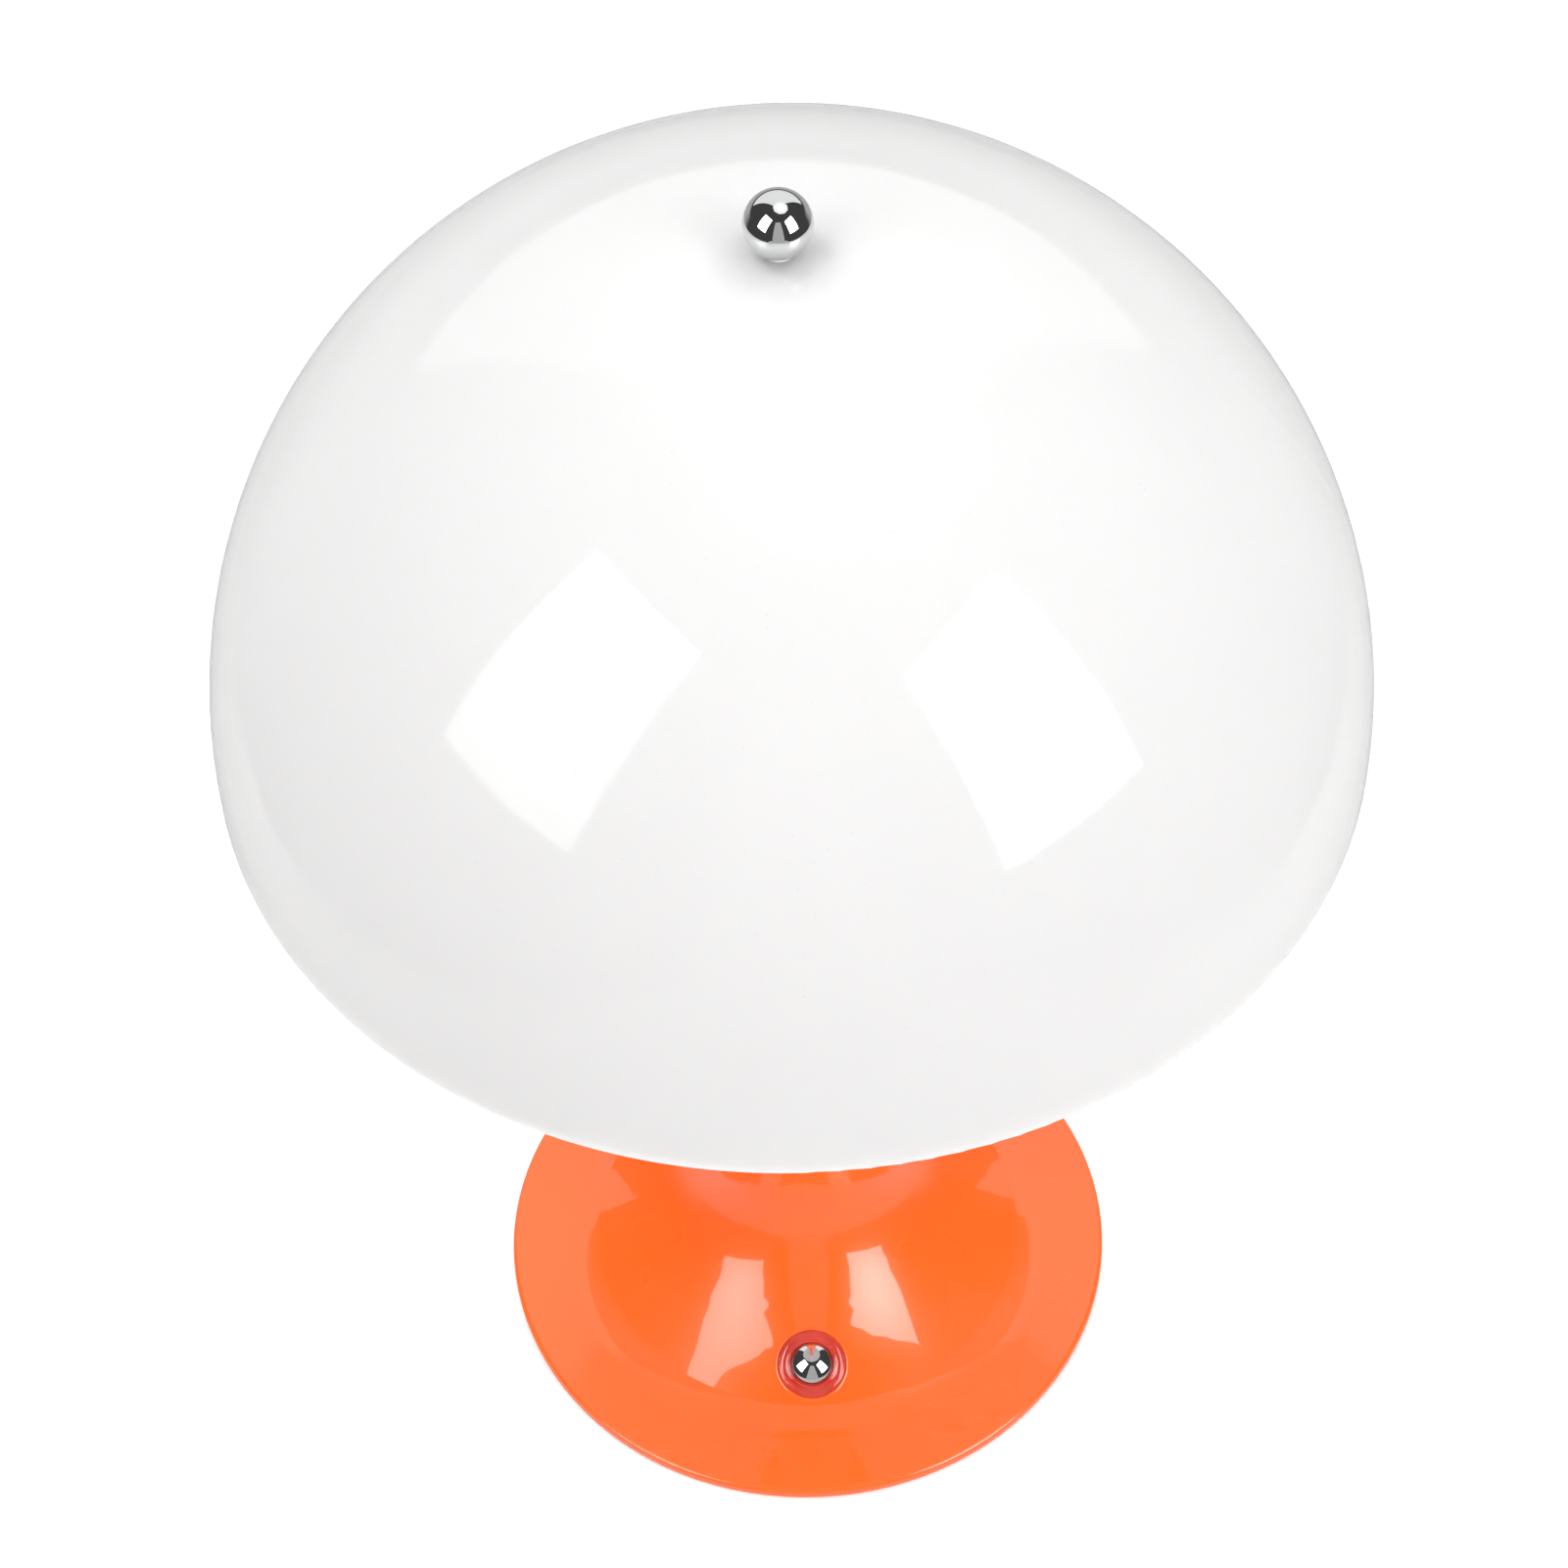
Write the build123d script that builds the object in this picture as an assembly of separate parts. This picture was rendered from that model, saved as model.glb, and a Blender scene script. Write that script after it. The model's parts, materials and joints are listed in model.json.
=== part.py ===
from build123d import *

import os
from math import atan2, cos, degrees, radians, sin, sqrt

# A mushroom table lamp. An opal half-sphere shade hangs on a threaded rod under a ball
# finial, over a painted trumpet base with a ball push button. The base holds a battery,
# its electronics and a counterweight, and the stem carries a light unit inside the shade.
# Sizes are in millimetres. +Z is up, the button faces -Y, the charging inlet faces +Y,
# and the origin is where the lamp's axis meets the table.

# Shade
shade_radius = 100.0
shade_wall = 3.0
shade_centre_height = 176.0
shade_skirt = 1.5
shade_rim_rounding = 0.8
shade_hole_clearance = 0.2

# Finial, which screws down the rod onto a washer
finial_ball_radius = 5.5
finial_flat_radius = 2.4
finial_washer_radius = 2.5
finial_washer_height = 0.5
finial_thread_length = 7.5
finial_tip_gap = 0.5

# Rod that carries the shade, and its nuts
rod_radius = 2.0
nut_across_flats = 7.0
nut_height = 3.2
seat_radius = 9.0
seat_plate_thickness = 1.5
seat_gasket_thickness = 1.5
lock_washer_radius = 4.5
lock_washer_thickness = 0.8

# Trumpet body: rim, brim, knee, flare and stem
base_radius = 62.5
foot_height = 1.0
rim_side_height = 2.0
rim_edge_radius = 1.1
knee_start_radius = 51.0
brim_rise = 0.91
knee_bend_radius = 20.0
knee_slope = 25.0
flare_handle = 36.0
neck_handle = 42.0
neck_height = 76.0
stem_radius = 12.0
stem_top = 196.0
stem_edge_rounding = 0.5
body_wall = 1.5

# Foot ring and bottom cover
foot_ring_outer_inset = 2.5
foot_ring_width = 7.0
cover_radius = 49.8
cover_inset = 0.1
cover_thickness = 1.5
cover_screw_circle = 41.0
cover_screw_count = 4
cover_screw_length = 4.2
boss_radius = 3.25

# Small countersunk and pan-head screws
screw_radius = 1.25
countersunk_head_radius = 2.35
countersunk_head_land = 0.2
pan_head_radius = 2.3
pan_head_height = 1.5

# Counterweight
weight_radius = 36.5
weight_thickness = 5.0
weight_screw_circle = 22.0
weight_screw_count = 3
weight_screw_length = 5.0
weight_notch_clearance = 0.8

# Frame that holds the battery and the control board
frame_radius = 28.0
frame_thickness = 1.2
frame_screw_length = 5.0
sleeve_wall = 1.2
sleeve_height = 27.0

# Battery, a standard 18650 cell
cell_radius = 9.2
cell_length = 65.0
cell_button_radius = 3.0
cell_button_height = 0.8
cap_overlap = 3.0
cap_thickness = 2.0

# Control board at the back, with its charging inlet
board_thickness = 1.6
board_width = 30.0
board_depth = 12.5
board_post_height = 1.0
board_post_radius = 2.4
board_hole_inset = 2.6
inlet_width = 8.94
inlet_height = 3.26
inlet_depth = 7.35
inlet_shell = 0.3
inlet_tongue_thickness = 0.7
inlet_tongue_width = 6.7
inlet_face_distance = 26.0

# Larger parts on the control board, with their centres from the board's middle
driver_size = (4.0, 5.0, 1.2)
driver_place = (-9.0, 1.5)
charger_size = (3.0, 3.0, 0.9)
charger_place = (8.2, 1.5)
coil_radius = 2.2
coil_height = 2.0
coil_place = (-4.2, -3.2)
capacitor_radius = 1.6
capacitor_height = 2.6
capacitor_place = (7.0, -3.0)

# Moulded scoop round the inlet, wide enough for a charging plug
scoop_width = 13.4
scoop_floor_drop = 3.6
scoop_wall = 1.4
scoop_reach = 38.2
scoop_tab_width = 1.4
scoop_tab_length = 5.0

# Ball push button in its bush, measured along the button's own axis
button_distance = 36.8
button_ball_radius = 4.0
button_ball_rise = 1.2
button_cut_depth = 2.2
button_shank_radius = 1.5
button_travel = 0.5
bush_flange_radius = 6.75
bush_flange_rise = 0.35
bush_flange_seat = 0.6
bush_lip_radius = 4.95
bush_lip_rise = 0.95
bush_socket_radius = 4.3
bush_sleeve_radius = 5.4
bush_floor_thickness = 0.8
bush_boss_radius = 8.4
bush_boss_depth = 1.7
bush_nut_radius = 7.6
bush_nut_thickness = 0.8
plunger_radius = 3.0
plunger_thickness = 0.6

# Tact switch under the button, on a small board carried by a wedge
switch_side = 4.5
switch_height = 1.5
switch_stem_radius = 1.0
switch_stem_hold = 0.5
switch_board_width = 12.0
switch_board_length = 6.2
switch_board_thickness = 0.6
wedge_wall = 1.0
lamp_chip_size = (1.6, 0.8, 0.6)
lamp_chip_offset = 4.2

# Light unit on top of the stem
tray_radius = 21.0
tray_wall = 1.5
tray_floor = 3.0
tray_height = 12.0
tray_shoulder_height = 8.0
tray_shoulder_width = 1.0
spigot_length = 12.0
spigot_wall = 2.0
rod_boss_radius = 4.5
rod_boss_height = 3.0
grub_screw_radius = 1.5
grub_screw_length = 2.9
led_board_radius = 17.8
led_board_thickness = 1.6
led_count = 12
led_circle = 13.2
led_size = (3.5, 2.8, 0.8)
led_screw_circle = 8.6
diffuser_wall = 1.5
diffuser_side_height = 4.5
diffuser_crown_height = 5.5
diffuser_flat_radius = 5.5

# Leads from the control board up to the light board
lead_radius = 0.55
lead_spacing = 1.5
lead_hole_radius = 0.75

# Fits
running_clearance = 0.05
seat_clearance = 0.1
thread_clearance = 0.02

# Heights and places worked out from the sizes above
rim_top = foot_height + rim_side_height
cover_bottom = foot_height + cover_inset
cover_top = cover_bottom + cover_thickness
weight_top = cover_top + weight_thickness
frame_top = weight_top + frame_thickness
board_bottom = frame_top + board_post_height
board_top = board_bottom + board_thickness
inlet_centre_height = board_top + inlet_height / 2
stem_bore_radius = stem_radius - body_wall
shade_rim_height = shade_centre_height - shade_skirt
shade_apex = shade_centre_height + shade_radius
shade_inner_apex = shade_apex - shade_wall
gasket_bottom = shade_inner_apex - seat_gasket_thickness
seat_plate_bottom = gasket_bottom - seat_plate_thickness
washer_top = shade_apex + finial_washer_height
finial_centre = washer_top + sqrt(finial_ball_radius**2 - finial_flat_radius**2)
rod_top = washer_top + finial_thread_length
tray_floor_top = stem_top + tray_floor
tray_top = stem_top + tray_height
shoulder_top = stem_top + tray_shoulder_height
diffuser_radius = tray_radius - tray_wall - seat_clearance
diffuser_top = shoulder_top + diffuser_side_height + diffuser_crown_height
led_board_top = tray_floor_top + led_board_thickness
spigot_bore_radius = stem_bore_radius - spigot_wall
lead_hole_distance = spigot_bore_radius - 2 * lead_hole_radius
knee_start = Vector(knee_start_radius, rim_top + brim_rise)
brim_slope = degrees(atan2(brim_rise, base_radius - rim_edge_radius - knee_start_radius))


def up_normal(slope):
    """The direction square to a surface that climbs inwards at a slope, in degrees."""
    return Vector(sin(radians(slope)), cos(radians(slope)))


def uphill(slope):
    """The direction that climbs such a surface towards the axis."""
    return Vector(-cos(radians(slope)), sin(radians(slope)))


def knee_point(slope, inset=0.0):
    """A point of the knee's bend, or of the bend that lies `inset` under it."""
    centre = knee_start + up_normal(brim_slope) * knee_bend_radius
    return centre - up_normal(slope) * (knee_bend_radius + inset)


def flare_curve(inset=0.0):
    """The flare from the knee up to the stem, or the wall's inner face `inset` under it."""
    foot = knee_point(knee_slope, inset)
    neck = Vector(stem_radius - inset, neck_height)
    return Bezier(foot, foot + uphill(knee_slope) * flare_handle, neck - Vector(0, neck_handle), neck)


def flare_place(radius):
    """The place along the flare's outer curve, from 0 to 1, at a distance from the axis."""
    curve = flare_curve()
    low, high = 0.0, 1.0
    while high - low > 1e-9:
        middle = (low + high) / 2
        if (curve @ middle).X > radius:
            low = middle
        else:
            high = middle
    return low


def turned(*edges):
    """A turned solid from the edges of its half outline, drawn as (radius, height)."""
    outline = Face(Wire(list(edges)))
    return revolve(Plane.XZ * outline, Axis.Z)


def turned_polygon(*points):
    """A turned solid whose half outline has straight sides."""
    return turned(*Polyline(*points, close=True).edges())


def rod(radius, bottom, top):
    """A round bar along Z between two heights."""
    return Pos(0, 0, bottom) * Cylinder(radius, top - bottom, align=(Align.CENTER, Align.CENTER, Align.MIN))


def ring(outer_radius, inner_radius, bottom, top):
    """A flat ring along Z between two heights."""
    return rod(outer_radius, bottom, top) - rod(inner_radius, bottom, top)


def block(width, depth, bottom, top, y=0.0):
    """A box with upright sides between two heights, centred on X and on `y`."""
    return Pos(0, y, bottom) * Box(width, depth, top - bottom, align=(Align.CENTER, Align.CENTER, Align.MIN))


def on_circle(piece, radius, count, first_angle=0.0):
    """Copies of a piece, evenly spaced round the axis."""
    return [place * piece for place in PolarLocations(radius, count, first_angle)]


def hex_nut(bottom, height):
    """A hexagon nut on the rod, with its corners bevelled by a cone."""
    corner_radius = nut_across_flats / sqrt(3)
    bevel = (corner_radius - nut_across_flats / 2) / 2
    nut = Pos(0, 0, bottom) * extrude(RegularPolygon(corner_radius, 6), height)
    crown = turned_polygon(
        (0, bottom),
        (corner_radius - bevel, bottom),
        (corner_radius, bottom + bevel),
        (corner_radius, bottom + height - bevel),
        (corner_radius - bevel, bottom + height),
        (0, bottom + height),
    )
    return (nut & crown) - rod(rod_radius + thread_clearance, bottom, bottom + height)


def countersunk_screw(head_bottom, length):
    """A countersunk screw driven upwards, with its flat head at the bottom."""
    cone_bottom = head_bottom + countersunk_head_land
    cone_top = cone_bottom + countersunk_head_radius - screw_radius
    return turned_polygon(
        (0, head_bottom),
        (countersunk_head_radius, head_bottom),
        (countersunk_head_radius, cone_bottom),
        (screw_radius, cone_top),
        (screw_radius, head_bottom + length),
        (0, head_bottom + length),
    )


def countersunk_hole(head_bottom, length):
    """The hole that a countersunk screw lies in, wider by the thread's clearance."""
    wide = countersunk_head_radius + seat_clearance
    narrow = screw_radius + thread_clearance
    cone_bottom = head_bottom + countersunk_head_land
    return turned_polygon(
        (0, cover_bottom),
        (wide, cover_bottom),
        (wide, cone_bottom),
        (narrow, cone_bottom + wide - narrow),
        (narrow, head_bottom + length),
        (0, head_bottom + length),
    )


def pan_screw(seat, length):
    """A pan-head screw driven downwards, with its head standing on `seat`."""
    shank = rod(screw_radius, seat - length, seat)
    head_side = pan_head_height / 2
    head = turned(
        Line((0, seat), (pan_head_radius, seat)),
        Line((pan_head_radius, seat), (pan_head_radius, seat + head_side)),
        Bezier(
            (pan_head_radius, seat + head_side),
            (pan_head_radius, seat + pan_head_height),
            (0, seat + pan_head_height),
        ),
        Line((0, seat + pan_head_height), (0, seat)),
    )
    return head + shank


# The button's own frame lies on the flare's surface with its Z axis pointing outwards.
button_place = flare_place(button_distance)
button_point = flare_curve() @ button_place
button_tangent = flare_curve() % button_place
button_frame = Plane(
    origin=(0, -button_point.X, button_point.Y),
    x_dir=(1, 0, 0),
    z_dir=(0, -button_tangent.Y, -button_tangent.X),
)
ball_flat = button_ball_rise - button_cut_depth
socket_floor = ball_flat - button_travel - seat_clearance
bush_bottom = socket_floor - bush_floor_thickness
plunger_top = bush_bottom - running_clearance
plunger_bottom = plunger_top - plunger_thickness
switch_top = plunger_bottom - button_travel - running_clearance
switch_bottom = switch_top - switch_height
switch_board_bottom = switch_bottom - switch_board_thickness


def body_outside():
    """The trumpet's outer form, filled."""
    rim_edge = Vector(base_radius - rim_edge_radius, rim_top)
    edge_foot = Vector(base_radius, rim_top - rim_edge_radius)
    flare = flare_curve()
    stem_edge = stem_top - stem_edge_rounding
    shoulder = Vector(stem_radius - stem_edge_rounding, stem_top)
    return turned(
        Line((0, foot_height), (base_radius, foot_height)),
        Line((base_radius, foot_height), edge_foot),
        Bezier(edge_foot, (base_radius, rim_top), rim_edge),
        Line(rim_edge, knee_start),
        ThreePointArc(knee_start, knee_point((brim_slope + knee_slope) / 2), knee_point(knee_slope)),
        flare,
        Line(flare @ 1, (stem_radius, stem_edge)),
        Line((stem_radius, stem_edge), shoulder),
        Line(shoulder, (0, stem_top)),
        Line((0, stem_top), (0, foot_height)),
    )


def body_cavity(inset):
    """The room under the flare and in the stem, `inset` under the outer surface."""
    flare = flare_curve(inset)
    return turned(
        Line((0, foot_height), ((flare @ 0).X, foot_height)),
        Line(((flare @ 0).X, foot_height), flare @ 0),
        flare,
        Line(flare @ 1, (stem_radius - inset, stem_top)),
        Line((stem_radius - inset, stem_top), (0, stem_top)),
        Line((0, stem_top), (0, foot_height)),
    )


def scoop_block(growth=0.0):
    """The block that the inlet's scoop is moulded in, or the slot for it in the body."""
    inner = inlet_face_distance - scoop_wall - growth
    outer = scoop_reach + growth
    width = scoop_width + 2 * scoop_wall + 2 * growth
    bottom = inlet_centre_height - scoop_floor_drop - scoop_wall - growth
    return block(width, outer - inner, bottom, neck_height, (inner + outer) / 2)


def grub_screw(radius, side):
    """A set screw across the stem's wall, or its hole, near the top of the stem."""
    outer_end = stem_radius - seat_clearance
    bar = Cylinder(radius, grub_screw_length, align=(Align.CENTER, Align.CENTER, Align.MAX))
    height = stem_top - spigot_length / 2
    return Pos(side * outer_end, 0, height) * Rot(0, side * 90, 0) * bar


def make_lamp_body():
    """The painted trumpet base and stem, cast in one with its screw bosses."""
    outside = body_outside()
    cavity = body_cavity(body_wall)
    recess = rod(cover_radius + seat_clearance, foot_height, cover_top)
    bosses = on_circle(rod(boss_radius, cover_top, rim_top + neck_height / 4), cover_screw_circle,
                       cover_screw_count, 45)
    button_boss = button_frame * Cylinder(bush_boss_radius, bush_boss_depth,
                                          align=(Align.CENTER, Align.CENTER, Align.MAX))
    body = outside - cavity
    body += outside & (Part() + bosses + button_boss)
    body -= recess
    screw_holes = on_circle(
        rod(screw_radius + thread_clearance, cover_top, cover_bottom + cover_screw_length),
        cover_screw_circle, cover_screw_count, 45,
    )
    body -= screw_holes
    flange_pocket = Cylinder(bush_flange_radius + seat_clearance, bush_boss_radius,
                             align=(Align.CENTER, Align.CENTER, Align.MIN))
    sleeve_hole = Cylinder(bush_sleeve_radius + seat_clearance, 2 * bush_boss_radius)
    body -= button_frame * (Pos(0, 0, -bush_flange_seat) * flange_pocket)
    body -= button_frame * sleeve_hole
    nut_spot_face = Cylinder(bush_nut_radius + seat_clearance, bush_boss_radius,
                             align=(Align.CENTER, Align.CENTER, Align.MAX))
    body -= button_frame * (Pos(0, 0, -bush_boss_depth) * nut_spot_face)
    body -= scoop_block(seat_clearance)
    for side in (-1, 1):
        body -= grub_screw(grub_screw_radius + thread_clearance, side)
    return body


def make_foot_ring():
    """The soft ring under the rim, which the lamp stands on."""
    outer = base_radius - foot_ring_outer_inset
    return ring(outer, outer - foot_ring_width, 0, foot_height)


def make_bottom_cover():
    """The plate that closes the base, with countersunk holes for its screws."""
    cover = rod(cover_radius, cover_bottom, cover_top)
    cover -= on_circle(countersunk_hole(cover_bottom, cover_thickness), cover_screw_circle,
                       cover_screw_count, 45)
    cover -= on_circle(countersunk_hole(cover_bottom, cover_thickness), weight_screw_circle,
                       weight_screw_count, 90)
    return cover


def make_counterweight():
    """The iron disc on the cover, notched for the switch's wedge."""
    weight = rod(weight_radius, cover_top, weight_top)
    notch_inner = wedge_foot_distance() + weight_notch_clearance
    notch_width = 2 * (bush_nut_radius + weight_notch_clearance)
    notch_depth = weight_radius + notch_inner
    weight -= block(notch_width, notch_depth, cover_top, weight_top, notch_inner - notch_depth / 2)
    weight -= on_circle(
        rod(screw_radius + thread_clearance, cover_top, cover_bottom + weight_screw_length),
        weight_screw_circle, weight_screw_count, 90,
    )
    weight -= on_circle(
        rod(screw_radius + thread_clearance, frame_top - frame_screw_length, weight_top),
        weight_screw_circle, weight_screw_count, 30,
    )
    return weight


def board_post_places():
    """Where the control board is held: near its two outer front corners."""
    x = board_width / 2 - board_hole_inset
    y = inlet_face_distance - scoop_wall - seat_clearance - board_depth + board_hole_inset
    return [Pos(-x, y), Pos(x, y)]


def make_battery_frame():
    """The moulded frame: a plate on the weight, the battery's sleeve and the board's posts."""
    inner = cell_radius + seat_clearance
    frame = rod(frame_radius, weight_top, frame_top)
    frame += ring(inner + sleeve_wall, inner, frame_top, frame_top + sleeve_height)
    frame += [place * rod(board_post_radius, frame_top, board_bottom) for place in board_post_places()]
    frame -= scoop_block(seat_clearance)
    frame -= on_circle(rod(screw_radius + thread_clearance, weight_top, frame_top), weight_screw_circle,
                       weight_screw_count, 30)
    frame -= [
        place * rod(screw_radius + thread_clearance, weight_top, board_bottom)
        for place in board_post_places()
    ]
    window = block(frame_radius, frame_radius, weight_top, frame_top, -frame_radius - cell_radius)
    return frame - window


def make_battery_cell():
    """The cylindrical cell, standing on the frame's plate inside the sleeve."""
    top = frame_top + cell_length
    can = rod(cell_radius, frame_top, top - cell_button_height)
    return can + rod(cell_button_radius, top - cell_button_height, top)


def make_battery_cap():
    """The insulating cap on the cell, which centres it in the stem and lets the leads pass."""
    top = frame_top + cell_length
    outer = stem_bore_radius - seat_clearance
    cap = rod(outer, top - cap_overlap, top + cap_thickness)
    cap -= rod(cell_radius + running_clearance, top - cap_overlap, top - cell_button_height)
    cap -= rod(cell_button_radius + running_clearance, top - cap_overlap, top)
    slot_width = 2 * (lead_spacing + lead_radius + seat_clearance)
    slot_floor = lead_track_distance() - lead_radius - seat_clearance
    slot = block(slot_width, stem_bore_radius, top - cap_overlap, top + cap_thickness,
                 slot_floor + stem_bore_radius / 2)
    return cap - slot


def make_control_board():
    """The circuit board for charging and dimming, behind the battery."""
    back = inlet_face_distance - scoop_wall - seat_clearance
    board = block(board_width, board_depth, board_bottom, board_top, back - board_depth / 2)
    board -= [
        place * rod(screw_radius + thread_clearance, board_bottom, board_top)
        for place in board_post_places()
    ]
    return board


def make_control_chips():
    """The larger parts on the control board: driver, charger, coil and capacitor."""
    middle = Pos(0, inlet_face_distance - scoop_wall - board_depth / 2, board_top)
    standing = (Align.CENTER, Align.CENTER, Align.MIN)
    driver = Pos(*driver_place) * Box(*driver_size, align=standing)
    charger = Pos(*charger_place) * Box(*charger_size, align=standing)
    coil = Pos(*coil_place) * rod(coil_radius, 0, coil_height)
    capacitor = Pos(*capacitor_place) * rod(capacitor_radius, 0, capacitor_height)
    return Compound([middle * chip for chip in (driver, charger, coil, capacitor)])


def make_inlet():
    """The charging receptacle: a rounded metal shell with a contact tongue inside."""
    corner = inlet_height / 2 - inlet_shell
    outer = RectangleRounded(inlet_width, inlet_height, inlet_height / 2 - running_clearance)
    inner = RectangleRounded(inlet_width - 2 * inlet_shell, inlet_height - 2 * inlet_shell,
                             corner - running_clearance)
    face = Plane(origin=(0, inlet_face_distance, inlet_centre_height), x_dir=(1, 0, 0), z_dir=(0, -1, 0))
    shell = extrude(face * outer, inlet_depth) - extrude(face * inner, inlet_depth - inlet_shell)
    tongue_length = inlet_depth * 0.8
    tongue = Box(inlet_tongue_width, tongue_length, inlet_tongue_thickness)
    tongue_y = inlet_face_distance - inlet_depth + tongue_length / 2
    return shell + Pos(0, tongue_y, inlet_centre_height) * tongue


def make_inlet_scoop():
    """The moulded scoop that lets a plug reach the inlet, flush with the flare."""
    outside = body_outside()
    cavity = body_cavity(body_wall + running_clearance)
    scoop = scoop_block() & outside
    tab_width = scoop_width + 2 * scoop_wall + 2 * scoop_tab_width
    tab_bottom = inlet_centre_height - scoop_floor_drop - scoop_wall
    tab_back = inlet_face_distance - scoop_wall
    tabs = block(tab_width, scoop_tab_length, tab_bottom, neck_height, tab_back + scoop_tab_length / 2)
    tabs &= cavity
    tabs -= body_cavity(body_wall + 2 * scoop_tab_width)
    scoop += tabs
    floor = inlet_centre_height - scoop_floor_drop
    room_length = scoop_reach - inlet_face_distance + scoop_wall
    room = block(scoop_width, room_length, floor, neck_height, inlet_face_distance + room_length / 2)
    scoop -= room
    opening = extrude(
        Plane(origin=(0, inlet_face_distance + scoop_wall, inlet_centre_height), x_dir=(1, 0, 0),
              z_dir=(0, -1, 0)) * RectangleRounded(inlet_width + 2 * seat_clearance,
                                                   inlet_height + 2 * seat_clearance, inlet_height / 2),
        4 * scoop_wall,
    )
    return scoop - opening


def make_button_ball():
    """The chrome ball of the button, with its shank through the bush's floor."""
    ball = Pos(0, 0, button_ball_rise) * Sphere(button_ball_radius)
    ball &= rod(button_ball_radius, ball_flat, button_ball_rise + button_ball_radius)
    ball += rod(button_shank_radius, plunger_bottom + plunger_thickness / 2, ball_flat)
    return button_frame * ball


def make_button_bush():
    """The translucent bush: a stepped ring with a raised lip round the ball's socket."""
    flange_edge = bush_flange_rise / 2
    lip_edge = (bush_lip_radius - bush_socket_radius) / 2
    bush = turned(
        Line((0, bush_bottom), (bush_sleeve_radius, bush_bottom)),
        Line((bush_sleeve_radius, bush_bottom), (bush_sleeve_radius, -bush_flange_seat)),
        Line((bush_sleeve_radius, -bush_flange_seat), (bush_flange_radius, -bush_flange_seat)),
        Line((bush_flange_radius, -bush_flange_seat), (bush_flange_radius, flange_edge)),
        Bezier(
            (bush_flange_radius, flange_edge),
            (bush_flange_radius, bush_flange_rise),
            (bush_flange_radius - flange_edge, bush_flange_rise),
        ),
        Bezier(
            (bush_flange_radius - flange_edge, bush_flange_rise),
            ((bush_flange_radius + bush_lip_radius) / 2, -flange_edge),
            (bush_lip_radius, flange_edge),
        ),
        Line((bush_lip_radius, flange_edge), (bush_lip_radius, bush_lip_rise - lip_edge)),
        ThreePointArc(
            (bush_lip_radius, bush_lip_rise - lip_edge),
            (bush_lip_radius - lip_edge, bush_lip_rise),
            (bush_socket_radius, bush_lip_rise - lip_edge),
        ),
        Line((bush_socket_radius, bush_lip_rise - lip_edge), (bush_socket_radius, socket_floor)),
        Line((bush_socket_radius, socket_floor), (0, socket_floor)),
        Line((0, socket_floor), (0, bush_bottom)),
    )
    bush -= rod(button_shank_radius + running_clearance, bush_bottom, socket_floor)
    return button_frame * bush


def make_bush_nut():
    """The thin round nut that holds the bush from inside the body."""
    top = -bush_boss_depth
    nut = ring(bush_nut_radius, bush_sleeve_radius + thread_clearance, top - bush_nut_thickness, top)
    grip = Box(1.2, 1.6, 2 * bush_nut_thickness)
    return button_frame * (nut - [place * grip for place in
                                  [Pos(bush_nut_radius * cos(radians(a)), bush_nut_radius * sin(radians(a)),
                                       top) * Rot(0, 0, a) for a in (0, 90, 180, 270)]])


def make_button_plunger():
    """The cap pressed on the button's shank, which keeps the ball in and presses the switch."""
    plunger = rod(plunger_radius, plunger_bottom, plunger_top)
    plunger -= rod(button_shank_radius, plunger_bottom + plunger_thickness / 2, plunger_top)
    return button_frame * plunger


def make_switch_stem():
    """The moving stem of the tact switch."""
    bottom = switch_top - switch_stem_hold
    return button_frame * rod(switch_stem_radius, bottom, plunger_bottom)


def make_tact_switch():
    """The square housing of the tact switch."""
    housing = block(switch_side, switch_side, switch_bottom, switch_top)
    hole_bottom = switch_top - switch_stem_hold - button_travel - running_clearance
    housing -= rod(switch_stem_radius + running_clearance, hole_bottom, switch_top)
    return button_frame * housing


def make_switch_board():
    """The small board under the switch."""
    return button_frame * block(switch_board_width, switch_board_length, switch_board_bottom, switch_bottom)


def make_ring_lights():
    """Two small lamps beside the switch, which light the bush."""
    width, depth, height = lamp_chip_size
    chip = Pos(0, 0, switch_bottom) * Box(width, depth, height, align=(Align.CENTER, Align.CENTER, Align.MIN))
    return Compound([button_frame * (Pos(side * lamp_chip_offset, 0) * chip) for side in (-1, 1)])


def wedge_foot_distance():
    """The place along Y where the inner face of the switch's wedge meets the cover."""
    uphill_edge = button_frame.origin + button_frame.y_dir * switch_board_length / 2
    depth = (uphill_edge.Z - cover_top) / button_frame.z_dir.Z
    return (uphill_edge - button_frame.z_dir * depth).Y


def make_switch_wedge():
    """The wedge on the cover that holds the switch board square to the button."""
    depth = 2 * switch_board_length
    solid = block(switch_board_width, switch_board_length, switch_board_bottom - depth, switch_board_bottom)
    hollow = block(switch_board_width - 2 * wedge_wall, switch_board_length,
                   switch_board_bottom - depth, switch_board_bottom - wedge_wall)
    room = rod(base_radius, cover_top, neck_height)
    return (button_frame * (solid - hollow)) & room


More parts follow.
